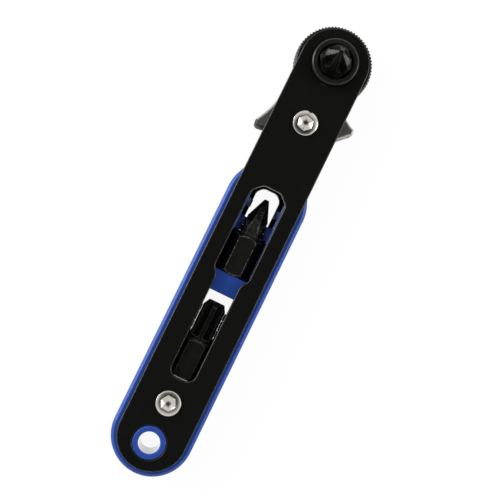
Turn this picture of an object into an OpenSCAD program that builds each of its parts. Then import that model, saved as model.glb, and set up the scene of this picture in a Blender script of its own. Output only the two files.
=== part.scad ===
// Pocket ratcheting screwdriver.
// Two flat plates clamp a moulded bit holder, a toothed drive wheel and a rocking pawl lever.
// Origin: axis of the hanging eye, midway between the plates. +X runs to the drive head,
// +Z points out of the front plate, the way the fitted bit points.

/* [Layout] */
// Distance from the hanging eye to the drive axis
eye_to_drive = 86.7; // [85:0.1:100]
// Distance from the drive axis back to the pawl pivot
drive_to_pivot = 13.9; // [13.8:0.05:14.2]
// Distance from the hanging eye to the tail screw
eye_to_tail_screw = 8.9; // [8.4:0.1:9.6]
// Distance from the hanging eye to the centre of the tail arc
eye_to_tail_arc = 1.5; // [0:0.1:3]
// Distance from the hanging eye to the near end of the rear pocket
eye_to_pocket = 13.9; // [13.6:0.1:16]

/* [Plates] */
// Width of both plates
plate_w = 14.6; // [14:0.1:15.6]
// Thickness of each plate
plate_t = 1.5; // [1.2:0.1:2]
// Gap between the plates, which is the thickness of the holder
plate_gap = 5.6; // [5.2:0.1:6.2]

/* [Bits] */
// Width of the bit shanks across the flats
hex_af = 6.35; // [6.2:0.05:6.4]
// Length of the cross-point bits
bit_l = 17.4; // [17:0.1:18]
// How much shorter the six-lobe bit is
star_shorter = 0.2; // [0:0.1:1]
// Length of the hexagon on the cross-point bits
cross_hex_l = 9.2; // [8:0.1:9.4]
// Length of the hexagon on the six-lobe bit
star_hex_l = 8.3; // [7:0.1:8.6]
// Diameter of the stored cross-point bit's round neck
neck_d = 4.55; // [4:0.05:4.6]
// Diameter of the fitted cross-point bit's round neck
fitted_neck_d = 5.8; // [4:0.1:5.9]
// Diameter over the lobes of the six-lobe bit
star_d = 5.2; // [4.4:0.1:5.3]
// Half angle of the cross point's cone
point_half_angle = 22; // [18:1:26]
// Diameter of the cross point's blunt end
point_d = 1; // [0.8:0.1:1.6]
// Chamfer round the end of each hexagon
hex_chamfer = 0.6; // [0.3:0.05:0.7]

/* [Bit holder] */
// How far the holder stands out past the plates
rim_w = 1.3; // [0.8:0.05:2]
// Width of the bridge between the two pockets
bridge_w = 4.25; // [3:0.25:6]
// Length of the tapered shoulder where the rim runs in under the plates
shoulder_l = 3.2; // [2:0.1:4]
// Length of each pair of gripping ribs
rib_l = 1.7; // [1:0.1:2]
// Gap between the middle pair of ribs and a bit's neck
rib_clear = 0.08; // [0.05:0.01:0.15]
// Diameter of the hole in the hanging eye
eye_d = 4.5; // [3:0.1:5]
// Wall of the hanging eye
eye_wall = 1.25; // [0.8:0.05:1.4]

/* [Drive wheel] */
// Diameter over the teeth
wheel_d = 16.4; // [15.8:0.1:16.6]
// Number of ratchet teeth
tooth_count = 72; // [36, 72]
// Depth of the teeth
tooth_h = 0.35; // [0.25:0.05:0.45]
// Diameter of the collar that turns in the front plate
collar_d = 9.7; // [9.4:0.1:10.2]
// How far the collar stands out of the front plate
collar_rise = 2; // [1:0.1:2.4]
// Diameter of the stub that turns in the back plate
stub_d = 8; // [7:0.1:9]

/* [Pawl lever] */
// Tilt of the lever to each side of the middle
rock_angle = 18.8; // [18:0.1:20]
// Distance from the pivot to the tip of each thumb wing
wing_reach = 10.5; // [10:0.1:11.5]
// Thickness of the lever
lever_t = 4.8; // [3:0.1:5]

/* [Fasteners] */
// Diameter of the screw heads
head_d = 5.2; // [5:0.1:6]
// Height of the screw heads
head_h = 1.15; // [1:0.05:1.6]
// Hexagon recess across the flats
recess_af = 3.2; // [2.5:0.1:3.4]
// Diameter of the threaded sleeves
sleeve_d = 4; // [3.6:0.1:4.2]
// Diameter of the screw threads
screw_d = 2.5; // [2:0.1:3]

/* [Fits] */
// Radial clearance of the collar, the stub and the pawl bore
running_clear = 0.05; // [0.03:0.01:0.08]
// Clearance between pieces that are clamped or glued together
seat_clear = 0.03; // [0.02:0.01:0.05]
// Side gap of the drive wheel between the plates
side_clear = 0.2; // [0.1:0.05:0.3]
// Gap beside a hexagon in its pocket, its slot or the drive socket
hex_clear = 0.2; // [0.1:0.05:0.25]
// Gap behind the front spare's base
base_clear = 0.15; // [0.1:0.05:0.3]
// Gap behind the rear spare's base, which lies by the narrow end of the slot
rear_base_clear = 0.6; // [0.6:0.05:0.8]
// Gap in front of the front spare's tip
tip_clear = 2.15; // [1.5:0.05:3]
// Gap between the wheel's teeth and the pawl's teeth in mesh
mesh_clear = 0.06; // [0.04:0.01:0.1]
// Gap between the lever at its stop and the holder's tongue
stop_clear = 0.4; // [0.3:0.05:0.6]

/* [Hidden] */
$fn = 72;

// How far a cut runs past the solid it cuts
overrun = 1;

// Plates, from the middle outwards
plate_r = plate_w / 2;
inner_z = plate_gap / 2;
outer_z = inner_z + plate_t;
pivot_x = eye_to_drive - drive_to_pivot;

// Hexagon shanks: the corner radius, and half the width of a flat
hex_r = hex_af / sqrt(3);
hex_flat = hex_r / 2;

// Pockets: the front pocket lies beyond the bridge, the rear pocket before it
pocket_l = bit_l + base_clear + tip_clear;
rear_x = eye_to_pocket;
front_x = rear_x + pocket_l + bridge_w;
slot_end_x = front_x + pocket_l;
pocket_half_w = hex_r + hex_clear;
// The pocket narrows past the hexagon, and its ribs narrow it further
neck_step = 0.45;
neck_half_w = pocket_half_w - neck_step;
rib_lip = 0.3;
mid_rib_share = 0.66;
tip_rib_share = 0.88;
front_pocket_run = 0.75;

// Plate slots: wide enough for a bit at one end, narrow enough to keep it in at the other
slot_lip = 0.97;
narrow_corner = 1.2;
narrow_lead = 0.4;
back_narrow_run = 0.75;
slot_wide = hex_r + hex_clear;
slot_narrow = hex_r - slot_lip;
slot_corner = 1.9;
back_slot_corner = 1.3;
slot_taper = 1.7;
slot_taper_lead = 0.5;

// Holder: its outline round the plates and its tongue between them
holder_r = plate_r + rim_w;
tongue_inset = 0.6;
tongue_half_w = plate_r - tongue_inset;
shoulder_lead = 1.35;
shoulder_x = slot_end_x - shoulder_lead;
shoulder_end_x = shoulder_x + shoulder_l;
tongue_step = 0.6;

// Hanging eye
eye_r = eye_d / 2;
boss_r = eye_r + eye_wall;

// Drive wheel
wheel_r = wheel_d / 2;
wheel_half_t = inner_z - side_clear;
wheel_chamfer = 0.45;
collar_r = collar_d / 2;
collar_z = outer_z + collar_rise;
collar_chamfer = 0.35;
stub_r = stub_d / 2;
stub_recess = 0.1;
stub_z = outer_z - stub_recess;
socket_r = hex_r + hex_clear / 2;
socket_mouth = 0.5;
socket_floor_z = -wheel_half_t;
magnet_r = 2.6;
magnet_t = 1;
magnet_gap = 0.05;

// Fitted bit: its base stands just clear of the magnet
fitted_z = socket_floor_z + magnet_gap;

// Pawl lever: places on its outline, from the pivot, as the lever stands in the middle
lever_front = 3.3;
lever_neck_w = 5.2;
finger_inner = 3.5;
finger_x = 5.9;
wing_round = 0.9;
wing_back = 2.2;
wing_root = 7.2;
waist_x = 2.9;
waist_w = 3.4;
wing_edge = wing_reach + wing_round * (sqrt(2) - 1);

// Cam on the tail side of the lever, and the spring nose that snaps into its notches
cam_r = 3.8;
notch_r = 0.75;
notch_depth = 0.3;
notch_x = cam_r - notch_depth + notch_r;
nose_r = 0.55;
nose_gap = 0.1;
nose_x = pivot_x - (cam_r - notch_depth + nose_gap + nose_r);
spring_t = 0.3;
spring_w = 3.6;
spring_foot_y = 3.05;
spring_pocket_half_w = 3.5;
spring_pocket_depth = 2.3;

// The tongue ends where the rocked lever's wing root would meet it
wing_sweep = wing_back * cos(rock_angle) + wing_root * sin(rock_angle);
tongue_x = pivot_x - wing_sweep - stop_clear;
spring_pocket_x = tongue_x - spring_pocket_depth;

// Fasteners
head_r = head_d / 2;
head_rim = 0.35;
dome_h = head_h - head_rim;
dome_r = (head_r * head_r + dome_h * dome_h) / (2 * dome_h);
recess_r = recess_af / sqrt(3);
recess_depth = 0.9;
recess_chamfer = 0.2;
sleeve_r = sleeve_d / 2;
screw_r = screw_d / 2;
sleeve_short = 0.3;
sleeve_head_t = 0.7;
screw_end_z = -inner_z;

// Bits: cross-point flutes and six-lobe grooves
star_l = bit_l - star_shorter;
point_r = point_d / 2;
neck_r = neck_d / 2;
flute_floor = 0.45;
flute_l = 5.4;
flute_rise = 7;
flute_end_rise = 38;
shoulder_r = hex_r - hex_chamfer;
star_neck_r = star_d / 2;
lobe_cut_share = 0.34;
lobe_cut_r = lobe_cut_share * star_neck_r;
lobe_cut_lead = 0.14;
lobe_cut_x = star_neck_r + lobe_cut_lead;
star_flare_l = 1.5;
groove_start_share = 0.5;
star_tip_inset = 0.9;
star_tip_l = 1.3;

// Stadium outline round the plates' two arc centres
module stadium(r) {
    translate([eye_to_tail_arc, 0]) circle(r);
    translate([eye_to_drive, 0]) circle(r);
    translate([eye_to_tail_arc, -r]) square([eye_to_drive - eye_to_tail_arc, 2 * r]);
}

// Slot outline for the front plate: narrow over the rear pocket, wide over the front one.
// The narrow half starts at narrow_x, and the corner is cut off each end corner of the wide half.
module bit_slot(narrow_x, corner) {
    wide_x = front_x + slot_taper_lead;
    polygon([
        [narrow_x, narrow_corner - slot_narrow],
        [narrow_x + narrow_corner, -slot_narrow],
        [wide_x - slot_taper, -slot_narrow],
        [wide_x, -slot_wide],
        [slot_end_x - corner, -slot_wide],
        [slot_end_x, corner - slot_wide],
        [slot_end_x, slot_wide - corner],
        [slot_end_x - corner, slot_wide],
        [wide_x, slot_wide],
        [wide_x - slot_taper, slot_narrow],
        [narrow_x + narrow_corner, slot_narrow],
        [narrow_x, slot_narrow - narrow_corner]
    ]);
}

// The back plate's slot runs the other way. It has smaller corners, which the rear bit's base clears,
// and its narrow half runs out over the end of the front pocket.
module turned_slot() {
    translate([rear_x + slot_end_x, 0]) rotate(180) bit_slot(rear_x - back_narrow_run, back_slot_corner);
}

// Plate blank with its eye hole and slot
module plate_blank() {
    linear_extrude(plate_t) difference() {
        stadium(plate_r);
        circle(boss_r + seat_clear);
        children();
    }
}

module front_plate() {
    color([0.07, 0.07, 0.06]) translate([0, 0, inner_z]) difference() {
        plate_blank() bit_slot(rear_x + narrow_lead, slot_corner);
        translate([eye_to_drive, 0, -overrun])
            cylinder(r = collar_r + running_clear, h = plate_t + 2 * overrun);
        for (x = [eye_to_tail_screw, pivot_x])
            translate([x, 0, -overrun]) cylinder(r = sleeve_r + seat_clear, h = plate_t + 2 * overrun);
    }
}

module back_plate() {
    color([0.07, 0.07, 0.06]) translate([0, 0, -outer_z]) difference() {
        plate_blank() turned_slot();
        translate([eye_to_drive, 0, -overrun])
            cylinder(r = stub_r + running_clear, h = plate_t + 2 * overrun);
        for (x = [eye_to_tail_screw, pivot_x]) translate([x, 0, 0]) {
            translate([0, 0, -overrun]) cylinder(r = sleeve_r + seat_clear, h = plate_t + 2 * overrun);
            cylinder(r1 = head_r + seat_clear, r2 = sleeve_r + seat_clear, h = sleeve_head_t);
        }
    }
}

// One pocket, from its near end: hexagon bay, neck bay, and two pairs of ribs beside a bit's neck
module pocket(length, bit_neck_r) {
    neck_x = base_clear + cross_hex_l;
    difference() {
        union() {
            translate([0, -pocket_half_w]) square([neck_x, 2 * pocket_half_w]);
            translate([0, -neck_half_w]) square([length, 2 * neck_half_w]);
        }
        for (side = [-1, 1]) {
            rib_at(base_clear + mid_rib_share * bit_l, bit_neck_r + rib_clear, side);
            rib_at(base_clear + tip_rib_share * bit_l, bit_neck_r + rib_clear + rib_lip, side);
        }
    }
}

// One rib that reaches in from a side wall to a given distance from the middle
module rib_at(x, reach, side) {
    translate([x - rib_l / 2, side > 0 ? reach : -neck_half_w - overrun])
        square([rib_l, neck_half_w + overrun - reach]);
}

// Holder outline: the rim round the plates, its shoulders, and the tongue between the plates
module holder_outline() {
    translate([eye_to_tail_arc, 0]) circle(holder_r);
    polygon([
        [eye_to_tail_arc, -holder_r],
        [shoulder_x, -holder_r],
        [shoulder_end_x, -plate_r],
        [shoulder_end_x + tongue_step, -tongue_half_w],
        [tongue_x, -tongue_half_w],
        [tongue_x, tongue_half_w],
        [shoulder_end_x + tongue_step, tongue_half_w],
        [shoulder_end_x, plate_r],
        [shoulder_x, holder_r],
        [eye_to_tail_arc, holder_r]
    ]);
}

module bit_holder() {
    color([0.1, 0.27, 0.75]) difference() {
        union() {
            translate([0, 0, -inner_z]) linear_extrude(plate_gap) difference() {
                holder_outline();
                translate([rear_x, 0]) pocket(pocket_l, star_neck_r);
                translate([front_x, 0]) pocket(pocket_l + front_pocket_run, neck_r);
                translate([spring_pocket_x, -spring_pocket_half_w])
                    square([spring_pocket_depth + overrun, 2 * spring_pocket_half_w]);
            }
            translate([0, 0, -outer_z]) cylinder(r = boss_r, h = 2 * outer_z);
        }
        translate([0, 0, -outer_z - overrun]) cylinder(r = eye_r, h = 2 * (outer_z + overrun));
        translate([eye_to_tail_screw, 0, -outer_z]) cylinder(r = sleeve_r + seat_clear, h = 2 * outer_z);
    }
}

// Outline of the ratchet teeth, grown by a clearance
module toothed_outline(grow) {
    tip = wheel_r + grow;
    root = tip - tooth_h;
    polygon([for (i = [0 : 2 * tooth_count - 1])
        (i % 2 == 0 ? root : tip) * [cos(i * 180 / tooth_count), sin(i * 180 / tooth_count)]]);
}

// Turned profile that chamfers both rims at 45 degrees and clears the teeth between them.
// It starts halfway down a tooth's flank, away from the tooth edges.
module wheel_envelope() {
    rotate(90 / tooth_count) rotate_extrude() polygon([
        [0, -wheel_half_t],
        [wheel_r - wheel_chamfer, -wheel_half_t],
        [wheel_r + overrun, wheel_chamfer + overrun - wheel_half_t],
        [wheel_r + overrun, wheel_half_t - wheel_chamfer - overrun],
        [wheel_r - wheel_chamfer, wheel_half_t],
        [0, wheel_half_t]
    ]);
}

module drive_wheel() {
    color([0.09, 0.09, 0.08]) translate([eye_to_drive, 0, 0]) difference() {
        union() {
            intersection() {
                translate([0, 0, -wheel_half_t]) linear_extrude(2 * wheel_half_t) toothed_outline(0);
                wheel_envelope();
            }
            cylinder(r = collar_r, h = collar_z - collar_chamfer);
            translate([0, 0, collar_z - collar_chamfer])
                cylinder(r1 = collar_r, r2 = collar_r - collar_chamfer, h = collar_chamfer);
            translate([0, 0, -stub_z]) cylinder(r = stub_r, h = stub_z);
        }
        translate([0, 0, socket_floor_z]) rotate(30)
            cylinder(r = socket_r, h = collar_z - socket_floor_z + overrun, $fn = 6);
        translate([0, 0, collar_z - socket_mouth])
            cylinder(r1 = socket_r - socket_mouth, r2 = socket_r + socket_mouth, h = 2 * socket_mouth);
        translate([0, 0, socket_floor_z - magnet_t - magnet_gap])
            cylinder(r = magnet_r + seat_clear, h = magnet_t + overrun);
    }
}

module socket_magnet() {
    color([0.6, 0.6, 0.62]) translate([eye_to_drive, 0, socket_floor_z - magnet_t])
        cylinder(r = magnet_r, h = magnet_t);
}

// Half of the lever's outline, on the side that y points to
module lever_half() {
    polygon([
        [0, 0],
        [lever_front, 0],
        [lever_front, lever_front - wing_round],
        [finger_x - wing_round, finger_inner],
        [finger_x, finger_inner],
        [finger_x, wing_edge - finger_x],
        [wing_round / sqrt(2), wing_edge - wing_round / sqrt(2)],
        [0, wing_reach - wing_round],
        [-wing_round, wing_reach - wing_round],
        [-wing_back, wing_root],
        [-waist_x, waist_w],
        [-waist_x, 0]
    ]);
    translate([0, wing_reach - wing_round]) circle(wing_round);
}

// Lever as it stands in the middle, its pivot at the origin
module lever_outline() {
    difference() {
        union() {
            for (side = [0, 1]) mirror([0, side]) lever_half();
            circle(cam_r);
        }
        circle(sleeve_r + running_clear);
        for (side = [-1, 1]) {
            rotate(side * rock_angle) translate([-notch_x, 0]) circle(notch_r);
            rotate(-side * rock_angle) translate([drive_to_pivot, 0]) toothed_outline(mesh_clear);
        }
    }
}

module pawl_lever() {
    color([0.72, 0.72, 0.7]) translate([pivot_x, 0, -lever_t / 2]) rotate(rock_angle)
        linear_extrude(lever_t) lever_outline();
}

// Straight strip of spring steel between two points, with round ends
module strip(a, b) {
    d = b - a;
    translate(a) rotate(atan2(d[1], d[0])) translate([0, -spring_t / 2]) square([norm(d), spring_t]);
    for (p = [a, b]) translate(p) circle(spring_t / 2);
}

module detent_spring() {
    nose_mid_r = nose_r - spring_t / 2;
    color([0.8, 0.8, 0.78]) translate([0, 0, -spring_w / 2]) linear_extrude(spring_w) {
        difference() {
            translate([nose_x, 0]) circle(nose_r);
            translate([nose_x, 0]) circle(nose_r - spring_t);
            translate([nose_x - 2 * nose_r, -nose_r]) square([2 * nose_r, 2 * nose_r]);
        }
        for (side = [-1, 1])
            strip([nose_x, side * nose_mid_r], [spring_pocket_x + spring_t / 2 + seat_clear, side * spring_foot_y]);
    }
}

// Button-head screw with a hexagon recess, seated on the front plate
module screw_at(x) {
    color([0.82, 0.8, 0.76]) translate([x, 0, outer_z]) difference() {
        union() {
            intersection() {
                cylinder(r = head_r, h = head_h);
                translate([0, 0, head_h - dome_r]) sphere(dome_r);
            }
            translate([0, 0, screw_end_z - outer_z]) cylinder(r = screw_r, h = outer_z - screw_end_z);
        }
        translate([0, 0, head_h - recess_depth]) cylinder(r = recess_r, h = recess_depth + overrun, $fn = 6);
        translate([0, 0, head_h - recess_chamfer])
            cylinder(r1 = recess_r - recess_chamfer, r2 = recess_r + recess_chamfer, h = 2 * recess_chamfer);
    }
}

// Threaded sleeve with a countersunk head, flush with the back plate
module sleeve_at(x) {
    color([0.6, 0.6, 0.58]) translate([x, 0, -outer_z]) difference() {
        union() {
            cylinder(r1 = head_r, r2 = sleeve_r, h = sleeve_head_t);
            cylinder(r = sleeve_r, h = 2 * outer_z - sleeve_short);
        }
        translate([0, 0, outer_z + screw_end_z - sleeve_short])
            cylinder(r = screw_r + seat_clear, h = 2 * outer_z);
    }
}

module pivot_screw() { screw_at(pivot_x); }

module pivot_sleeve() { sleeve_at(pivot_x); }

module tail_screw() { screw_at(eye_to_tail_screw); }

module tail_sleeve() { sleeve_at(eye_to_tail_screw); }

// Hexagon shank along +Z from the origin, its corners turned off at 45 degrees at both ends
module hex_shank(length) {
    intersection() {
        rotate(30) cylinder(r = hex_r, h = length, $fn = 6);
        rotate_extrude() polygon([
            [0, 0],
            [shoulder_r, 0],
            [hex_r + overrun, hex_chamfer + overrun],
            [hex_r + overrun, length - hex_chamfer - overrun],
            [shoulder_r, length],
            [0, length]
        ]);
    }
}

// Cross-point bit along +Z, a flat of its hexagon facing +X
module cross_bit(shaft_r) {
    cone_l = (shaft_r - point_r) / tan(point_half_angle);
    difference() {
        union() {
            hex_shank(cross_hex_l);
            cylinder(r = shaft_r, h = bit_l - cone_l);
            translate([0, 0, bit_l - cone_l]) cylinder(r1 = shaft_r, r2 = point_r, h = cone_l);
        }
        for (quarter = [0 : 3]) rotate(45 + quarter * 90) intersection() {
            flute_cut(flute_floor, bit_l, flute_rise);
            flute_cut(flute_floor + flute_l * tan(flute_rise), bit_l - flute_l, flute_end_rise);
        }
    }
}

// A square groove whose floor leaves the axis at an angle and passes a given radius at a given height
module flute_cut(floor_r, height, rise) {
    translate([floor_r, 0, height]) rotate([0, -rise, 0]) rotate(-45)
        translate([0, 0, -2 * bit_l]) cube([hex_af, hex_af, 3 * bit_l]);
}

// Six-lobe bit along +Z, a flat of its hexagon facing +X
module star_bit() {
    difference() {
        union() {
            hex_shank(star_hex_l);
            translate([0, 0, star_hex_l - hex_chamfer])
                cylinder(r1 = shoulder_r, r2 = star_neck_r, h = star_flare_l + hex_chamfer);
            cylinder(r = star_neck_r, h = star_l - star_tip_l);
            translate([0, 0, star_l - star_tip_l])
                cylinder(r1 = star_neck_r, r2 = star_neck_r - star_tip_inset, h = star_tip_l);
        }
        for (lobe = [0 : 5]) rotate(30 + lobe * 60)
            translate([lobe_cut_x, 0, star_hex_l + groove_start_share * star_flare_l])
                cylinder(r = lobe_cut_r, h = star_l);
    }
}

module fitted_bit() {
    color([0.1, 0.1, 0.09]) translate([eye_to_drive, 0, fitted_z]) cross_bit(fitted_neck_d / 2);
}

module stored_cross_bit() {
    color([0.1, 0.1, 0.09]) translate([front_x + base_clear, 0, 0]) rotate([0, 90, 0]) cross_bit(neck_r);
}

module stored_star_bit() {
    color([0.1, 0.1, 0.09]) translate([rear_x + rear_base_clear, 0, 0]) rotate([0, 90, 0]) star_bit();
}

front_plate();
back_plate();
bit_holder();
drive_wheel();
socket_magnet();
pawl_lever();
detent_spring();
pivot_screw();
pivot_sleeve();
tail_screw();
tail_sleeve();
fitted_bit();
stored_cross_bit();
stored_star_bit();
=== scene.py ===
import math

import bmesh
import bpy
from mathutils import Matrix, Vector


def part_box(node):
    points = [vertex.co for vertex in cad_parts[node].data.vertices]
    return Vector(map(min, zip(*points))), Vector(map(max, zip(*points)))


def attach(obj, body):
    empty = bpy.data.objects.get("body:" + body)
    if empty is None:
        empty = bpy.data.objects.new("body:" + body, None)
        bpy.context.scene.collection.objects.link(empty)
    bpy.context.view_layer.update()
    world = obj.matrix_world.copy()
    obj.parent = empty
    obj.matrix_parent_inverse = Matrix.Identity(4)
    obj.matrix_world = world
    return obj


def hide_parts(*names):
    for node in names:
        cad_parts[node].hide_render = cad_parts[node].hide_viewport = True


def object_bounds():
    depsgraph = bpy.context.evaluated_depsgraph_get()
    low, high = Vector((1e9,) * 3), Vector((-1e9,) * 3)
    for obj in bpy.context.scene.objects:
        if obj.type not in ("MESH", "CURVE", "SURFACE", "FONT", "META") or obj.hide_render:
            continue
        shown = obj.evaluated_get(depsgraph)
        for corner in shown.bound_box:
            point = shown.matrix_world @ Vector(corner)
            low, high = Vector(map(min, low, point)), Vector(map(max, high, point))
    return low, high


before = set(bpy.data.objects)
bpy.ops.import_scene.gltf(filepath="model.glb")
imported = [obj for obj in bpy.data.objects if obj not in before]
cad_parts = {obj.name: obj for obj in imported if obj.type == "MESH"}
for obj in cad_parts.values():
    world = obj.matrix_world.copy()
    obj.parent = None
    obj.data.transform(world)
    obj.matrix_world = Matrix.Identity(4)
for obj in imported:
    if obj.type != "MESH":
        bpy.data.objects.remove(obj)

mm = 0.001
cad_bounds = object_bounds()


# The studio
# A white table in a bright room with a dark ceiling, and a low soft panel at each side of the tool.
# The camera looks almost straight down, and the drive head points up and a little to the right.

class Level:
    """A number that changes over a surface. A sum or product of levels adds its Math nodes."""

    def __init__(self, recipe, socket):
        self.recipe, self.socket = recipe, socket

    def math(self, operation, first, second):
        return self.recipe.add("ShaderNodeMath", {"operation": operation}, {0: first, 1: second})

    def __add__(self, other):
        return self.math("ADD", self, other)

    def __radd__(self, other):
        return self.math("ADD", other, self)

    def __sub__(self, other):
        return self.math("SUBTRACT", self, other)

    def __rsub__(self, other):
        return self.math("SUBTRACT", other, self)

    def __mul__(self, other):
        return self.math("MULTIPLY", self, other)

    def __rmul__(self, other):
        return self.math("MULTIPLY", other, self)

    def rise(self, start, end, low=0, high=1):
        """Goes smoothly from low to high as the level goes from start to end."""
        return self.recipe.add(
            "ShaderNodeMapRange", {"interpolation_type": "SMOOTHSTEP"},
            {"Value": self, "From Min": start, "From Max": end, "To Min": low, "To Max": high})


class Recipe:
    """The nodes of a material or of the world."""

    def __init__(self, owner):
        owner.use_nodes = True
        self.tree = owner.node_tree

    def add(self, kind, settings, inputs, output=0):
        """Adds a node with its settings and inputs, and returns one of its outputs as a level."""
        node = self.tree.nodes.new(kind)
        for setting, value in settings.items():
            setattr(node, setting, value)
        self.feed(node, inputs)
        return Level(self, node.outputs[output])

    def feed(self, node, inputs):
        """Links each input that is a level, and sets the others."""
        for socket, value in inputs.items():
            if isinstance(value, Level):
                self.tree.links.new(value.socket, node.inputs[socket])
            else:
                node.inputs[socket].default_value = value

    def seen_directly(self):
        """1 where the camera looks at it, straight or by way of polished metal."""
        rays = [self.add("ShaderNodeLightPath", {}, {}, ray)
                for ray in ("Is Camera Ray", "Is Glossy Ray", "Is Transmission Ray")]
        return rays[0] + rays[1] + rays[2]


def paint_of(red, green, blue):
    return (red, green, blue, 1)


white = paint_of(1, 1, 1)
photo_side = 500
focal_pixels = 1061
sensor_w = 36
camera = bpy.data.objects.new("camera", bpy.data.cameras.new("camera"))
bpy.context.scene.collection.objects.link(camera)
bpy.context.scene.camera = camera
camera.data.sensor_width = sensor_w
camera.data.lens = sensor_w * focal_pixels / photo_side
camera.data.clip_start = 5 * mm
camera.location = Vector((34.8, 5.2, 221.6)) * mm
camera.rotation_euler = (math.radians(1.5), math.radians(-2.62), math.radians(-63.95))
bpy.context.scene.view_settings.view_transform = "Standard"

picture_right = Vector((math.cos(camera.rotation_euler.z), math.sin(camera.rotation_euler.z), 0))
picture_up = Vector((-picture_right.y, picture_right.x, 0))
tool_middle = (cad_bounds[0] + cad_bounds[1]) / 2


def soft_panel(name, right, up, elevation, distance, size, share):
    """A square lamp that gives its share of the light at which a colour shows as it is written."""
    lamp = bpy.data.lights.new(name, "AREA")
    lamp.shape = "SQUARE"
    lamp.size = size
    lamp.energy = share * math.pi ** 2 * distance ** 2 / math.sin(elevation)
    flat = (picture_right * right + picture_up * up).normalized() * math.cos(elevation)
    panel = bpy.data.objects.new(name, lamp)
    panel.location = tool_middle + (flat + Vector((0, 0, math.sin(elevation)))) * distance
    panel.rotation_euler = (tool_middle - panel.location).to_track_quat("-Z", "Y").to_euler()
    panel.visible_camera = False
    bpy.context.scene.collection.objects.link(panel)


soft_panel("left_panel", right=-1, up=0.55, elevation=math.radians(18), distance=0.5, size=0.28, share=0.34)
soft_panel("right_panel", right=1, up=-0.1, elevation=math.radians(20), distance=0.55, size=0.3, share=0.18)

wall_glow = 0.8
ceiling_glow = 0.03
ceiling_start = 0.7
ceiling_full = 0.9
world = bpy.data.worlds.new("studio")
bpy.context.scene.world = world
sky = Recipe(world)
direction = sky.add("ShaderNodeTexCoord", {}, {}, "Generated")
upward = sky.add("ShaderNodeSeparateXYZ", {}, {0: direction}, "Z")
looked_at = sky.add("ShaderNodeLightPath", {}, {}, "Is Camera Ray")
room = upward.rise(ceiling_start, ceiling_full, wall_glow, ceiling_glow)
sky.feed(sky.tree.nodes["Background"], {
    "Color": white,
    "Strength": looked_at + room * (1 - looked_at)})

table_size = 1.6
table_grey = 0.8
table_glow = 1.06
shadow_share = 0.12
table_bm = bmesh.new()
bmesh.ops.create_grid(table_bm, x_segments=1, y_segments=1, size=table_size / 2,
                      matrix=Matrix.Translation((tool_middle.x, tool_middle.y, cad_bounds[0].z)))
table_mesh = bpy.data.meshes.new("table")
table_bm.to_mesh(table_mesh)
table_bm.free()
table = bpy.data.objects.new("table", table_mesh)
bpy.context.scene.collection.objects.link(table)

table_paint = bpy.data.materials.new("table_paint")
table_mesh.materials.append(table_paint)
paint = Recipe(table_paint)
lit_paint = paint.tree.nodes["Principled BSDF"]
paint.feed(lit_paint, {
    "Base Color": paint_of(table_grey, table_grey, table_grey), "Roughness": 1, "Specular IOR Level": 0})
lit = Level(paint, lit_paint.outputs[0])
glow = paint.add("ShaderNodeEmission", {}, {"Color": white, "Strength": table_glow})
table_look = paint.add("ShaderNodeMixShader", {},
                       {"Fac": paint.seen_directly() * (1 - shadow_share), 1: lit, 2: glow})
paint.feed(paint.tree.nodes["Material Output"], {"Surface": table_look})


# Bit holder
# One moulding in blue plastic that the two plates clamp. Its chamfered rim stands out round them, its
# boss forms the hanging eye through both, and each pocket has ribs that grip a bit's neck.

class Finish(Recipe):
    """A material with one surface shader, and the patterns that feed it."""

    def __init__(self, name):
        self.material = bpy.data.materials.new(name)
        super().__init__(self.material)
        self.shader = self.tree.nodes["Principled BSDF"]
        self.place = self.add("ShaderNodeTexCoord", {}, {}, "Object")

    def speckle(self, size, detail=2, stretch=(1, 1, 1)):
        """Noise with blobs of a size in metres, longer where stretch is more than 1."""
        place = self.add("ShaderNodeMapping", {}, {0: self.place, "Scale": [1 / share for share in stretch]})
        return self.add(
            "ShaderNodeTexNoise", {}, {"Vector": place, "Scale": 1 / size, "Detail": detail}, "Fac")

    def mark_pattern(self, size, start, end, sign=1):
        """Marks broken up by noise: with a sign of 1 wear and painted highlights, with -1 the darkened
        faces.
        """
        marked = self.add("ShaderNodeAttribute", {"attribute_name": "wear_and_painted_light"}, {}, "Fac")
        return (marked * sign).rise(0, 1) * self.speckle(size, 3).rise(start, end)

    def blend(self, mask, colour, other):
        """The one colour where the mask is 0 and the other where it is 1."""
        return self.add("ShaderNodeMix", {"data_type": "RGBA"}, {0: mask, 6: colour, 7: other}, 2)

    def relief(self, height, depth):
        """Feeds the shader's normal with a height in shares of a depth in metres."""
        self.feed(self.shader, {"Normal": self.add(
            "ShaderNodeBump", {}, {"Height": height, "Strength": 1, "Distance": depth}, "Normal")})


arc_degrees = 3
flat_degrees = 1
smooth_degrees = 40
merge_gap = 0.001 * mm
# The mark of darkened faces: painted shade in the holder's pockets, on the screws' recess walls and on the
# lever's left wing, and the bit in the drive made darker all over.
darkened = -1


def new_mesh(copy_of=None):
    """A bmesh with a layer for marks of wear and painted light, empty or with a CAD node's mesh merged into
    clean faces.
    """
    bm = bmesh.new()
    if copy_of:
        bm.from_mesh(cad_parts[copy_of].data)
    bm.faces.layers.float.new("wear_and_painted_light")
    if copy_of:
        bmesh.ops.remove_doubles(bm, verts=bm.verts, dist=merge_gap)
        bmesh.ops.dissolve_limit(
            bm, angle_limit=math.radians(flat_degrees), verts=bm.verts, edges=bm.edges)
    return bm


def mark(bm, faces, wear_and_painted_light):
    """Marks faces: up to 1 for wear, where they are rubbed most, and for painted highlights; -1 for
    darkening.
    """
    for face in faces:
        face[bm.faces.layers.float["wear_and_painted_light"]] = wear_and_painted_light


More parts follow.
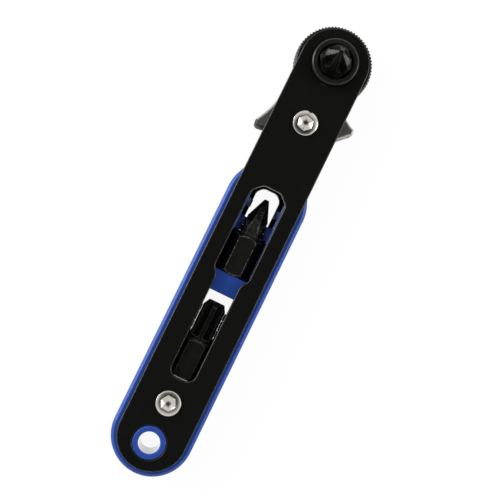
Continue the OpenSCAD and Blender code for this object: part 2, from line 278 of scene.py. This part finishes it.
def draw(bm, start, *moves):
    """Draws a closed outline and returns its points. A move is a point to run straight to, or a
    centre and the degrees to turn about it."""
    tip = bm.verts.new((*start, 0))
    drawn = [tip]
    for move in moves:
        if len(move) == 2:
            tip = bmesh.ops.extrude_vert_indiv(bm, verts=[tip])["verts"][0]
            tip.co = (*move, 0)
        else:
            known = set(bm.verts)
            steps = max(2, round(abs(move[2]) / arc_degrees))
            tip = bmesh.ops.spin(bm, geom=[tip], cent=(move[0], move[1], 0), axis=(0, 0, 1),
                                 angle=math.radians(move[2]), steps=steps, use_merge=False)["geom_last"][0]
            drawn += [vert for vert in bm.verts if vert not in known and vert is not tip]
        drawn.append(tip)
    bmesh.ops.weld_verts(bm, targetmap={tip: drawn[0]})
    return drawn[:-1]


def round_corners(bm, corners, cut):
    """Rounds corners of a drawn outline, from a cut before each corner to a cut past it."""
    bmesh.ops.bevel(bm, geom=corners, offset=cut, offset_type="OFFSET", segments=5, profile=0.5,
                    affect="VERTICES", material=-1)


def hole(bm, x, radius):
    """Draws a round hole on the tool's middle line."""
    bmesh.ops.create_circle(bm, segments=round(360 / arc_degrees), radius=radius,
                            matrix=Matrix.Translation((x, 0, 0)))


def slab(bm, low, high):
    """Fills the drawn outlines, holes left open, and raises them to a slab."""
    bmesh.ops.triangle_fill(bm, use_beauty=True, use_dissolve=True, edges=bm.edges[:], normal=(0, 0, 1))
    bmesh.ops.translate(bm, verts=bm.verts, vec=(0, 0, low))
    made = bmesh.ops.extrude_face_region(bm, geom=bm.faces[:] + bm.edges[:] + bm.verts[:])["geom"]
    bmesh.ops.translate(bm, verts=[part for part in made if isinstance(part, bmesh.types.BMVert)],
                        vec=(0, 0, high - low))
    bmesh.ops.recalc_face_normals(bm, faces=bm.faces)


def sharp(bm, degrees, wanted=lambda middle: True):
    """The edges whose faces meet more sharply than an angle, where their middle is wanted."""
    return [edge for edge in bm.edges
            if len(edge.link_faces) == 2 and edge.calc_face_angle() > math.radians(degrees)
            and wanted((edge.verts[0].co + edge.verts[1].co) / 2)]


def soften(bm, edges, radius, segments=3, wear_and_painted_light=1):
    """Rounds edges and gives the round its mark: wear and painted highlight above 0, darkening below."""
    made = bmesh.ops.bevel(bm, geom=edges, offset=radius, offset_type="OFFSET", segments=segments,
                           profile=0.5, affect="EDGES", clamp_overlap=False, material=-1)
    mark(bm, made["faces"], wear_and_painted_light)


def ring(bm, loop, radius, height, x=0):
    """Draws a loop of edges out to a new loop round an upright axis at x, and returns the new one.
    Radius and height are lengths, or functions of the angle about the axis."""
    made = bmesh.ops.extrude_edge_only(bm, edges=loop)["geom"]
    verts = {part for part in made if isinstance(part, bmesh.types.BMVert)}
    for vert in verts:
        angle = math.atan2(vert.co.y, vert.co.x - x)
        reach = radius(angle) if callable(radius) else radius
        level = height(angle) if callable(height) else height
        vert.co = (x + reach * math.cos(angle), reach * math.sin(angle), level)
    return [part for part in made if isinstance(part, bmesh.types.BMEdge) and verts.issuperset(part.verts)]


def show(bm, name, body, finish, node):
    """Makes the finished piece that stands for a CAD node and rides on its body."""
    bmesh.ops.recalc_face_normals(bm, faces=bm.faces)
    mesh = bpy.data.meshes.new(name)
    bm.to_mesh(mesh)
    bm.free()
    mesh.shade_smooth()
    mesh.set_sharp_from_angle(angle=math.radians(smooth_degrees))
    mesh.materials.append(finish.material)
    piece = bpy.data.objects.new(name, mesh)
    bpy.context.scene.collection.objects.link(piece)
    piece.modifiers.new("even_faces", "WEIGHTED_NORMAL").keep_sharp = True
    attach(piece, body)
    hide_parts(node)


def middle_x(node):
    low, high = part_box(node)
    return (low.x + high.x) / 2


plate_low, plate_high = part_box("front_plate")
plate_r = plate_high.y
tail_x = plate_low.x + plate_r
drive_x = plate_high.x - plate_r
inner_z = plate_low.z
outer_z = plate_high.z
holder_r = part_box("bit_holder")[1].y
tongue_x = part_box("bit_holder")[1].x
tail_screw_x = middle_x("tail_screw")
pivot_x = middle_x("pivot_screw")
screw_places = (tail_screw_x, pivot_x)

pocket_l = 19.7 * mm
rear_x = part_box("stored_star_bit")[0].x - 0.6 * mm
front_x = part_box("stored_cross_bit")[0].x - 0.15 * mm
front_pocket_close = 0.1 * mm
front_pocket_run = 0.75 * mm
hex_bay_l = 9 * mm
hex_bay_half_w = 3.866 * mm
neck_bay_half_w = 3.7 * mm
slot_end_x = front_x + pocket_l

# Along the neck, a low rib and a tall one take turns. Their reach is measured from the bit's axis.
rib_ends = (9.45 * mm, 10.78 * mm, 12.48 * mm, 14.61 * mm, 16.31 * mm)
rib_half_h = (0.4 * mm, 1.1 * mm, 0.4 * mm, 1.1 * mm)
rear_ribs = (2.5 * mm, 2.5 * mm, 2.5 * mm, 2.5 * mm)
front_ribs = (2.24 * mm, 2.24 * mm, None, 2.6 * mm)
rib_taper = 0.05 * mm

shoulder_x = slot_end_x - 1.35 * mm
shoulder_end_x = shoulder_x + 3.2 * mm
tongue_step = 0.6 * mm
tongue_half_w = plate_r - tongue_step
spring_half_w = 3.5 * mm
spring_x = tongue_x - 2.3 * mm
boss_r = 3.5 * mm
eye_r = 2.25 * mm
sleeve_hole_r = 2.03 * mm

shoulder_round = 1.5 * mm
rim_chamfer = 0.6 * mm
rim_round = 0.14 * mm
pocket_round = 0.14 * mm
rib_round = 0.12 * mm
boss_round = 0.35 * mm
hair = 0.01 * mm
margin = 0.1 * mm
upright_slope = 0.1

holder = new_mesh()
outline = draw(
    holder, (tail_x, -holder_r), (shoulder_x, -holder_r), (shoulder_end_x, -plate_r),
    (shoulder_end_x + tongue_step, -tongue_half_w), (tongue_x, -tongue_half_w), (tongue_x, -spring_half_w),
    (spring_x, -spring_half_w), (spring_x, spring_half_w), (tongue_x, spring_half_w),
    (tongue_x, tongue_half_w), (shoulder_end_x + tongue_step, tongue_half_w), (shoulder_end_x, plate_r),
    (shoulder_x, holder_r), (tail_x, holder_r), (tail_x, 0, 180))
round_corners(holder, [vert for vert in outline if abs(vert.co.x - shoulder_x) < hair], shoulder_round)
for pocket_x, close, length in ((rear_x, 0, pocket_l),
                                (front_x, front_pocket_close, pocket_l + front_pocket_run)):
    bays = [(pocket_x + hex_bay_l, hex_bay_half_w)]
    bays += [(pocket_x + along, neck_bay_half_w) for along in (*rib_ends, length)]
    draw(holder, (pocket_x + close, -hex_bay_half_w), *[(x, -half_w) for x, half_w in bays],
         *reversed(bays), (pocket_x + close, hex_bay_half_w), (pocket_x + close, -hex_bay_half_w))
hole(holder, tail_screw_x, sleeve_hole_r)
hole(holder, 0, boss_r)
slab(holder, -inner_z, inner_z)


def outside_plates(place):
    from_tail = min(0, place.x - tail_x)
    return max(abs(place.y), math.hypot(from_tail, place.y)) > plate_r + margin


def near_pockets(place):
    return rear_x - mm < place.x < slot_end_x + mm and abs(place.y) < hex_bay_half_w + margin


def near_boss(place):
    return abs(math.hypot(place.x, place.y) - boss_r) < hair


def rear_pocket_wall(face):
    middle = face.calc_center_median()
    in_pocket = rear_x < middle.x < rear_x + pocket_l - mm and abs(middle.y) < hex_bay_half_w + hair
    return in_pocket and abs(face.normal.z) < upright_slope


bmesh.ops.delete(holder, context="FACES",
                 geom=[face for face in holder.faces if near_boss(face.calc_center_median())])
soften(holder, sharp(holder, 40, outside_plates), rim_chamfer, 1)
soften(holder, sharp(holder, 30, outside_plates), rim_round)
soften(holder, sharp(holder, 40, near_pockets), pocket_round)

# The ribs, their rounds too, and the rear pocket's walls are marked darkened: a painted shade deep in the
# pocket.
rib_edges = []
for pocket_x, reaches in ((rear_x, rear_ribs), (front_x, front_ribs)):
    for start, end, reach, half_h in zip(rib_ends, rib_ends[1:], reaches, rib_half_h):
        for side in (1, -1) if reach else ():
            wall = Vector((pocket_x + (start + end) / 2, side * neck_bay_half_w, 0))
            foot = min(holder.faces, key=lambda face: (face.calc_center_median() - wall).length)
            tip = bmesh.ops.extrude_discrete_faces(holder, faces=[foot])["faces"][0]
            for vert in tip.verts:
                vert.co.x += math.copysign(rib_taper, wall.x - vert.co.x)
                vert.co.y = side * reach
                vert.co.z = math.copysign(half_h, vert.co.z)
            mark(holder, {face for vert in tip.verts for face in vert.link_faces}, darkened)
            rib_edges += tip.edges
soften(holder, rib_edges, rib_round, wear_and_painted_light=darkened)
holder.normal_update()
mark(holder, [face for face in holder.faces if rear_pocket_wall(face)], darkened)

# The boss reaches both plates' outer faces, and is rounded on its outside and again into the eye.
eye_loops = []
for side in (1, -1):
    loop = [edge for edge in holder.edges
            if edge.is_boundary and edge.verts[0].co.z * side > 0 and near_boss(edge.verts[0].co)]
    for wall_r, way, turns in ((boss_r, -1, (0, 30, 60, 90)), (eye_r, 1, (90, 60, 30, 0))):
        for turn in turns:
            back = boss_round * (1 - math.cos(math.radians(turn)))
            down = boss_round * (1 - math.sin(math.radians(turn)))
            loop = ring(holder, loop, wall_r + way * back, side * (outer_z - down))
    eye_loops += loop
bmesh.ops.bridge_loops(holder, edges=eye_loops)

deep_blue = paint_of(0.02, 0.064, 0.32)
fresh_blue = paint_of(0.025, 0.075, 0.37)
# A lighter blue on the rounds of the rim and pockets: scuffs, and a painted highlight on the rim.
scuffed_highlight_blue = paint_of(0.07, 0.2, 0.57)
# Near-black painted shade on the ribs and the rear pocket's walls.
painted_pocket_shade = paint_of(0.004, 0.004, 0.012)
polish_w = 0.1 * mm
blue_plastic = Finish("blue_plastic")
scuffs_and_highlight = blue_plastic.mark_pattern(0.9 * mm, 0.5, 0.75)
pocket_shade = blue_plastic.mark_pattern(1.5 * mm, 0.1, 0.4, darkened)
clouds = blue_plastic.speckle(7 * mm)
skin = blue_plastic.speckle(0.3 * mm, 3)
across = blue_plastic.add(
    "ShaderNodeVectorMath", {"operation": "MULTIPLY"}, {0: blue_plastic.place, 1: (1, 1, 0)})
eye_distance = blue_plastic.add("ShaderNodeVectorMath", {"operation": "LENGTH"}, {0: across}, "Value")
hook_polish = eye_distance.rise(eye_r, eye_r + polish_w, 1, 0)
moulded = blue_plastic.blend(clouds, deep_blue, fresh_blue)
scuffed_and_lit = blue_plastic.blend(scuffs_and_highlight * 0.35, moulded, scuffed_highlight_blue)
blue_plastic.feed(blue_plastic.shader, {
    "Base Color": blue_plastic.blend(pocket_shade * 0.85, scuffed_and_lit, painted_pocket_shade),
    "Roughness": 0.3 + skin * 0.12 - hook_polish * 0.26,
    "Coat Weight": hook_polish,
    "Specular IOR Level": 0.26})
blue_plastic.relief(skin, 0.006 * mm)
show(holder, "holder_moulding", "handle", blue_plastic, "bit_holder")


# Plates
# Two pressed steel sheets with a satin black coat. Each has a slot that lets the bit in the pocket
# behind its wide half out, and the coat is rubbed thin along the edges.

slot_wide = hex_bay_half_w
slot_narrow = 2.696 * mm
slot_taper = 1.7 * mm
wide_x = front_x + 0.5 * mm
narrow_corner = 1.2 * mm
slot_corner_cut = 0.6 * mm
boss_gap = 0.03 * mm
sleeve_head_r = 2.6 * mm
sleeve_gap = 0.03 * mm
edge_round = 0.24 * mm
hole_round = 0.12 * mm
flush_gap = 0.2 * mm
sheltered_wear = 0.3
sheltered_slot_l = 1.2 * mm
sheltered_head_l = 5 * mm
sheltered_eye_w = 0.5 * mm

soft_black = paint_of(0.0026, 0.0026, 0.0019)
handled_black = paint_of(0.0038, 0.0038, 0.003)
rubbed_grey = paint_of(0.034, 0.033, 0.033)
black_coat = Finish("black_coat")
rubbed = black_coat.mark_pattern(0.7 * mm, 0.35, 0.6)
grain = black_coat.speckle(0.14 * mm, 3)
handling = black_coat.speckle(9 * mm, 4)
black_coat.feed(black_coat.shader, {
    "Base Color": black_coat.blend(
        rubbed, black_coat.blend(handling, soft_black, handled_black), rubbed_grey),
    "Roughness": 0.3 + handling * 0.06 + grain * 0.05,
    "Specular IOR Level": 0.28})
black_coat.relief(grain, 0.004 * mm)


def outer_edge(place):
    """Whether an edge is one of the plate's outer face or side, but not round a flush sleeve."""
    return abs(place.z) > inner_z + hole_round and min(
        abs(math.hypot(place.x - x, place.y) - sleeve_head_r) for x in screw_places) > flush_gap


def inner_edge(place):
    return abs(place.z) < inner_z + hole_round


for side, name, node, narrow_x, corner, drive_hole_r in (
        (1, "plate_front", "front_plate", rear_x + 0.4 * mm, 1.9 * mm, 4.9 * mm),
        (-1, "plate_back", "back_plate", rear_x - 0.15 * mm, 1.3 * mm, 4.05 * mm)):
    plate = new_mesh()
    slot = draw(plate, (narrow_x + narrow_corner, -slot_narrow),
                (wide_x - slot_taper, -slot_narrow), (wide_x, -slot_wide), (slot_end_x - corner, -slot_wide),
                (slot_end_x, corner - slot_wide), (slot_end_x, slot_wide - corner),
                (slot_end_x - corner, slot_wide), (wide_x, slot_wide), (wide_x - slot_taper, slot_narrow),
                (narrow_x + narrow_corner, slot_narrow), (narrow_x, slot_narrow - narrow_corner),
                (narrow_x, narrow_corner - slot_narrow), (narrow_x + narrow_corner, -slot_narrow))
    if side < 0:
        bmesh.ops.rotate(plate, verts=slot, cent=((rear_x + slot_end_x) / 2, 0, 0),
                         matrix=Matrix.Rotation(math.pi, 3, "Z"))
    round_corners(plate, slot, slot_corner_cut)
    draw(plate, (tail_x, -plate_r), (drive_x, -plate_r), (drive_x, 0, 180),
         (tail_x, plate_r), (tail_x, 0, 180))
    hole(plate, 0, boss_r + boss_gap)
    hole(plate, drive_x, drive_hole_r)
    for screw_x in screw_places:
        hole(plate, screw_x, sleeve_hole_r)
    slab(plate, *sorted((side * inner_z, side * outer_z)))
    if side < 0:
        for vert in plate.verts:
            for screw_x in screw_places:
                away = vert.co - Vector((screw_x, 0, vert.co.z))
                if vert.co.z < -inner_z - hole_round and away.length < sleeve_head_r:
                    vert.co += away.normalized() * (sleeve_head_r + sleeve_gap - sleeve_hole_r)
    soften(plate, sharp(plate, 60, outer_edge), edge_round, 4)
    soften(plate, sharp(plate, 60, inner_edge), hole_round)
    for face in plate.faces:
        middle = face.calc_center_median()
        by_slot_head = abs(middle.x - slot_end_x) < sheltered_slot_l and abs(middle.y) < slot_wide
        by_eye = math.hypot(middle.x, middle.y) < boss_r + sheltered_eye_w
        if by_slot_head or by_eye or middle.x > drive_x - sheltered_head_l:
            face[plate.faces.layers.float["wear_and_painted_light"]] *= sheltered_wear
    show(plate, name, "handle", black_coat, node)


# Drive wheel and its magnet
# One piece of blackened steel: a rim of fine ratchet teeth, a collar that turns in the front plate
# and holds the bit's hexagon, and a stub that turns in the back plate. A magnet sits in its floor.

collar_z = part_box("drive_wheel")[1].z
stub_z = -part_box("drive_wheel")[0].z
socket_floor_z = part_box("socket_magnet")[1].z
tooth_count = 72
tooth_shape = (0, 0.3, 0.75, 1, 0.75, 0.3)
tooth_part = math.tau / (tooth_count * len(tooth_shape))
tooth_h = 0.35 * mm
wheel_r = 8.2 * mm
worn_teeth_r = wheel_r - 0.6 * tooth_h
wheel_half_t = 2.6 * mm
wheel_chamfer = 0.45 * mm
collar_r = 4.85 * mm
collar_chamfer = 0.3 * mm
collar_round = 0.07 * mm
collar_edge_wear = 0.65
collar_top_wear = 0.4
stub_r = 4 * mm
stub_chamfer = 0.25 * mm
lathe_centre_r = 1.2 * mm
lathe_tip_r = 0.3 * mm
lathe_depth = 0.35 * mm
socket_r = 3.766 * mm
socket_margin = 0.2 * mm
magnet_hole_r = 2.63 * mm
magnet_hole_z = socket_floor_z - 1.05 * mm


def tooth_radius(angle):
    return wheel_r - tooth_h * (1 - tooth_shape[round(angle / tooth_part) % len(tooth_shape)])


def tooth_top(angle):
    return wheel_half_t - (tooth_radius(angle) - wheel_r + wheel_chamfer)


def tooth_bottom(angle):
    return -tooth_top(angle)


def hexagon(corner_r, turn):
    """A hexagon's radius as a function of the angle, a corner at the given turn."""
    part = math.tau / 6
    return lambda angle: corner_r * math.cos(part / 2) / math.cos((angle - turn) % part - part / 2)


socket_hexagon = hexagon(socket_r, math.radians(30))


def socket_mouth(angle):
    return collar_z - socket_r + socket_hexagon(angle)


def on_collar(place):
    from_axis = math.hypot(place.x - drive_x, place.y)
    return place.z > collar_z - 2 * collar_chamfer and from_axis > socket_r + socket_margin


def turn_piece(bm, x, parts, start, rings, shaded_to=None):
    """Turns a closed piece about an upright axis at x, from a small flat through rings of a radius
    and a height. The faces that run to the ring of the radius given as the shaded one are marked -1, a
    painted shade."""
    bmesh.ops.create_circle(bm, segments=parts, radius=start[0],
                            matrix=Matrix.Translation((x, 0, start[1])))
    loop = bm.edges[:]
    bmesh.ops.holes_fill(bm, edges=loop)
    for radius, height in rings:
        loop = ring(bm, loop, radius, height, x)
        mark(bm, {face for edge in loop for face in edge.link_faces}, darkened if radius is shaded_to else 0)
    bmesh.ops.holes_fill(bm, edges=loop)


wheel = new_mesh()
turn_piece(wheel, drive_x, tooth_count * len(tooth_shape), (lathe_tip_r, lathe_depth - stub_z), (
    (lathe_centre_r, -stub_z), (stub_r - stub_chamfer, -stub_z), (stub_r, stub_chamfer - stub_z),
    (stub_r, -wheel_half_t), (wheel_r - wheel_chamfer, -wheel_half_t),
    (tooth_radius, tooth_bottom), (tooth_radius, tooth_top),
    (wheel_r - wheel_chamfer, wheel_half_t), (collar_r, wheel_half_t),
    (collar_r, collar_z - collar_chamfer), (collar_r - collar_chamfer, collar_z),
    (socket_r, collar_z), (socket_hexagon, socket_mouth), (socket_hexagon, socket_floor_z),
    (magnet_hole_r, socket_floor_z), (magnet_hole_r, magnet_hole_z)))
bmesh.ops.recalc_face_normals(wheel, faces=wheel.faces)
soften(wheel, sharp(wheel, 35, on_collar), collar_round)
for face in wheel.faces:
    middle = face.calc_center_median()
    reach = math.hypot(middle.x - drive_x, middle.y)
    if reach > worn_teeth_r:
        mark(wheel, [face], 1)
    elif on_collar(middle):
        mark(wheel, [face], collar_edge_wear if reach > collar_r - collar_chamfer else collar_top_wear)

turned_black = paint_of(0.004, 0.004, 0.0034)
polished_grey = paint_of(0.034, 0.033, 0.03)
black_steel = Finish("black_steel")
polished = black_steel.mark_pattern(0.5 * mm, 0.3, 0.6)
turning = black_steel.speckle(0.25 * mm, 3, (1, 1, 6))
black_steel.feed(black_steel.shader, {
    "Base Color": black_steel.blend(polished, turned_black, polished_grey),
    "Metallic": polished * 0.4,
    "Roughness": 0.32 + turning * 0.14 - polished * 0.08,
    "Specular IOR Level": 0.28})
black_steel.relief(turning, 0.004 * mm)
show(wheel, "ratchet_wheel", "drive", black_steel, "drive_wheel")

bright_nickel = paint_of(0.78, 0.74, 0.68)
dull_nickel = paint_of(0.66, 0.62, 0.56)
# A dark, less metallic painted shade on the wall of each screw's hexagon recess.
painted_recess_shade = paint_of(0.03, 0.026, 0.02)
nickel = Finish("nickel")
tarnish = nickel.speckle(1.1 * mm, 4)
recess_shade = nickel.mark_pattern(0.4 * mm, 0.05, 0.3, darkened)
nickel.feed(nickel.shader, {
    "Base Color": nickel.blend(recess_shade, nickel.blend(tarnish, bright_nickel, dull_nickel), painted_recess_shade),
    "Metallic": 1 - recess_shade * 0.7,
    "Roughness": tarnish.rise(0.3, 0.7, 0.14, 0.24)})
nickel.relief(nickel.speckle(0.4 * mm), 0.004 * mm)


def refinish(node, finish):
    """Gives a CAD node that stays as it is a finish of its own."""
    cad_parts[node].data.materials.clear()
    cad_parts[node].data.materials.append(finish.material)


refinish("socket_magnet", nickel)


# Bits
# Quarter-inch hexagon bits in black oxide tool steel. A cross point stands in the drive on its magnet,
# and ribs grip the spare bits by the neck, a cross point in the front pocket, a six-lobe in the rear.

bit_round = 0.11 * mm
# The drive's bit gets a painted highlight on the point's slopes to the tool's sides.
point_start_z = cad_bounds[1].z - 5 * mm
point_slope_z = 0.3
point_slope_y = 0.8
point_highlight = 0.6
# The bit in the drive is made darker all over, less so within this radius of its axis.
less_darkened_r = 1.8 * mm
middle_darkening = -0.4
spare_cross_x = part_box("stored_cross_bit")[0].x
hexagon_end_x = spare_cross_x + 9.2 * mm
hexagon_end_shift = 0.6 * mm
hexagon_corner_r = 3.1 * mm
# The spare cross bit gets painted highlights on slopes and on the neck's top, with a painted reflection
# streak on each side of the neck.
highlight_slopes = (0.41, 0.5)
neck_x = spare_cross_x + 10.8 * mm
neck_half_l = 1.6 * mm
neck_top_slope = 0.5
neck_streak_slopes = (0.35, 0.65)
neck_streak_highlight = 0.9
neck_highlight = 0.3

oxide_black = paint_of(0.008, 0.008, 0.0072)
oxide_brown = paint_of(0.013, 0.013, 0.0118)
# A light steel grey for worn edges and for painted highlights and reflections on the bits.
bare_steel_and_highlight = paint_of(0.16, 0.157, 0.145)
# Near black for darkening the bit in the drive.
darkened_black = paint_of(0.001, 0.001, 0.001)
bit_steel = Finish("bit_steel")
wear_and_highlight = bit_steel.mark_pattern(0.5 * mm, 0.3, 0.65)
darkening = bit_steel.mark_pattern(1.5 * mm, 0.1, 0.4, darkened)
oxide = bit_steel.speckle(1.6 * mm, 4)
blackened = bit_steel.blend(oxide, oxide_black, oxide_brown)
bit_steel.feed(bit_steel.shader, {
    "Base Color": bit_steel.blend(
        darkening * 0.8, bit_steel.blend(wear_and_highlight, blackened, bare_steel_and_highlight), darkened_black),
    "Metallic": wear_and_highlight * 0.5,
    "Roughness": oxide.rise(0.3, 0.7, 0.28, 0.4),
    "Specular IOR Level": 0.05})
bit_steel.relief(bit_steel.speckle(0.18 * mm, 3), 0.004 * mm)


def mark_fitted(bit, face):
    """Darker all over, less round the axis, and painted highlight where the point slopes to the tool's
    sides.
    """
    middle = face.calc_center_median()
    sloping = face.normal.z > point_slope_z and abs(face.normal.y) > point_slope_y
    darkness = middle_darkening if math.hypot(middle.x - drive_x, middle.y) < less_darkened_r else darkened
    mark(bit, [face], point_highlight if sloping and middle.z > point_start_z else darkness)


def mark_spare_cross(bit, face):
    """Wear and painted highlight on slopes like the hexagon's end, and on the neck a painted reflection
    streak each side.
    """
    middle = face.calc_center_median()
    if highlight_slopes[0] < face.normal.x < highlight_slopes[1]:
        mark(bit, [face], 1)
    if abs(middle.x - neck_x) < neck_half_l and face.normal.z > neck_top_slope:
        streak = neck_streak_slopes[0] < abs(face.normal.y) < neck_streak_slopes[1]
        mark(bit, [face], neck_streak_highlight if streak else neck_highlight)


for node, name, body, edges_worn in (("fitted_bit", "bit_in_drive", "driving_bit", 0),
                                     ("stored_cross_bit", "bit_cross_spare", "front_spare", 1),
                                     ("stored_star_bit", "bit_star_spare", "rear_spare", 0.5)):
    bit = new_mesh(node)
    if node == "stored_cross_bit":
        for vert in bit.verts:
            at_end = abs(vert.co.x - hexagon_end_x) < mm
            if at_end and math.hypot(vert.co.y, vert.co.z) > hexagon_corner_r:
                vert.co.x -= hexagon_end_shift
    soften(bit, sharp(bit, 25), bit_round, wear_and_painted_light=edges_worn)
    for face in bit.faces:
        if node == "fitted_bit":
            mark_fitted(bit, face)
        elif node == "stored_cross_bit":
            mark_spare_cross(bit, face)
    show(bit, name, body, bit_steel, node)


# Pawl lever and its spring
# The lever is sintered steel, tumbled smooth. It rocks on the pivot sleeve between the plates, and a
# bent strip of spring steel snaps into one of the two notches at its tail.

wing_start_y = 5.6 * mm
wing_tip_y = 8.7 * mm
wing_cuts = 7
long_edge = 1.5 * mm
wing_shift_start = 6.6 * mm
wing_shift_end = 9 * mm
wing_shift = {1: Vector((-0.6, -0.4, 0)) * mm, -1: Vector((-0.2, 0, 0)) * mm}
wing_round = 0.5 * mm
wing_round_z = 2 * mm
# The left wing's tail side, up to this x, gets a painted shade.
shaded_wing_end_x = pivot_x - 3.2 * mm
shaded_wing_slope = 0.95
side_slope = 0.45

lever = new_mesh("pawl_lever")
bmesh.ops.subdivide_edges(lever, cuts=wing_cuts, edges=[
    edge for edge in lever.edges
    if edge.calc_length() > long_edge and max(abs(vert.co.y) for vert in edge.verts) > wing_tip_y
    and abs(edge.verts[0].co.z - edge.verts[1].co.z) < margin])
for vert in lever.verts:
    way = min(1, max(0, (abs(vert.co.y) - wing_shift_start) / (wing_shift_end - wing_shift_start)))
    vert.co += wing_shift[math.copysign(1, vert.co.y)] * way ** 2 * (3 - 2 * way)
soften(lever, sharp(lever, 40, lambda place: abs(place.y) > wing_start_y and abs(place.z) > wing_round_z),
       wing_round, 5)
# The left wing's tail side is marked darkened, a painted shade; the upright sides elsewhere are left plain.
for face in lever.faces:
    middle = face.calc_center_median()
    if middle.y > wing_start_y and middle.x < shaded_wing_end_x and abs(face.normal.z) < shaded_wing_slope:
        mark(lever, [face], darkened)
    elif abs(face.normal.z) < side_slope:
        mark(lever, [face], 0)

tumbled_grey = paint_of(0.18, 0.176, 0.155)
# A lighter grey on the wing rounds: thumb wear and a painted highlight.
thumbed_highlight_grey = paint_of(0.42, 0.412, 0.39)
# A dark brown painted shade for the left wing's tail side.
wing_shade_brown = paint_of(0.045, 0.043, 0.037)
tumbled_steel = Finish("tumbled_steel")
tumbling = tumbled_steel.speckle(0.35 * mm, 4)
rubbed_highlight = tumbled_steel.mark_pattern(1.2 * mm, 0.2, 0.6)
painted_wing_shade = tumbled_steel.mark_pattern(1.2 * mm, 0.2, 0.5, darkened)
tumbled_steel.feed(tumbled_steel.shader, {
    "Base Color": tumbled_steel.blend(
        painted_wing_shade * 0.8, tumbled_steel.blend(rubbed_highlight, tumbled_grey, thumbed_highlight_grey), wing_shade_brown),
    "Metallic": 0.75 + rubbed_highlight * 0.2,
    "Roughness": 0.36 + tumbling * 0.16 - rubbed_highlight * 0.14 + painted_wing_shade * 0.3})
tumbled_steel.relief(tumbling, 0.012 * mm)
show(lever, "thumb_lever", "lever", tumbled_steel, "pawl_lever")
refinish("detent_spring", tumbled_steel)


# Screws and sleeves
# A button-head screw in bright nickel plate at the pivot and at the tail, each in a threaded sleeve.
# The sleeves' countersunk heads lie flush in the back plate.

turned_parts = 96
head_r = 2.6 * mm
head_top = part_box("tail_screw")[1].z
head_side_z = outer_z + 0.35 * mm
head_foot_cut = 0.06 * mm
head_side_cut = 0.08 * mm
head_side_step = 0.03 * mm
dome_h = head_top - head_side_z
dome_r = (head_r ** 2 + dome_h ** 2) / (2 * dome_h)
dome_rings = (head_r - 0.12 * mm, head_r - 0.28 * mm, head_r - 0.44 * mm, 2.02 * mm)
recess_r = 1.78 * mm
recess_lead = 0.1 * mm
recess_depth = 0.3 * mm
mouth_sink = 0.02 * mm
drill_r = 0.85 * mm
drill_depth = 0.4 * mm
drill_tip_r = 0.07 * mm
drill_tip_depth = 0.66 * mm
shank_r = 1.25 * mm
shank_z = -inner_z


def dome_z(radius):
    return head_top - dome_r + math.sqrt(dome_r ** 2 - radius ** 2)


for screw_x, name, node, turn in ((pivot_x, "screw_pivot", "pivot_screw", 12),
                                  (tail_screw_x, "screw_tail", "tail_screw", 26)):
    screw = new_mesh()
    mouth = hexagon(recess_r, math.radians(turn))
    wall = hexagon(recess_r - recess_lead, math.radians(turn))
    foot_z = dome_z(recess_r) - recess_depth
    head_rings = [
        (shank_r, outer_z), (head_r - head_foot_cut, outer_z), (head_r, outer_z + head_foot_cut),
        (head_r, head_side_z - head_side_cut), (head_r - head_side_step, head_side_z)]
    head_rings += [(radius, dome_z(radius)) for radius in dome_rings]
    head_rings += [
        (mouth, lambda angle: dome_z(mouth(angle)) - mouth_sink), (wall, foot_z),
        (drill_r, foot_z - drill_depth), (drill_tip_r, foot_z - drill_tip_depth)]
    # The recess's wall gets a painted shade.
    turn_piece(screw, screw_x, turned_parts, (shank_r, shank_z), head_rings, shaded_to=wall)
    show(screw, name, "handle", nickel, node)

sleeve_r = 2 * mm
sleeve_face_r = 2.45 * mm
sleeve_rim_r = 2.56 * mm
sleeve_rim_cut = 0.08 * mm
sleeve_head_h = 0.7 * mm
sleeve_end_z = outer_z - 0.3 * mm
sleeve_centre_r = 0.6 * mm
sleeve_tip_r = 0.2 * mm
thread_r = 1.28 * mm
thread_z = -3.1 * mm
for sleeve_x, name, node in ((pivot_x, "sleeve_pivot", "pivot_sleeve"),
                             (tail_screw_x, "sleeve_tail", "tail_sleeve")):
    sleeve = new_mesh()
    sleeve_rings = (
        (sleeve_centre_r, -outer_z), (sleeve_face_r, -outer_z), (sleeve_rim_r, sleeve_rim_cut - outer_z),
        (sleeve_r, sleeve_head_h - outer_z), (sleeve_r, sleeve_end_z),
        (thread_r, sleeve_end_z), (thread_r, thread_z))
    turn_piece(sleeve, sleeve_x, turned_parts, (sleeve_tip_r, sleeve_tip_r - outer_z), sleeve_rings)
    show(sleeve, name, "handle", nickel, node)
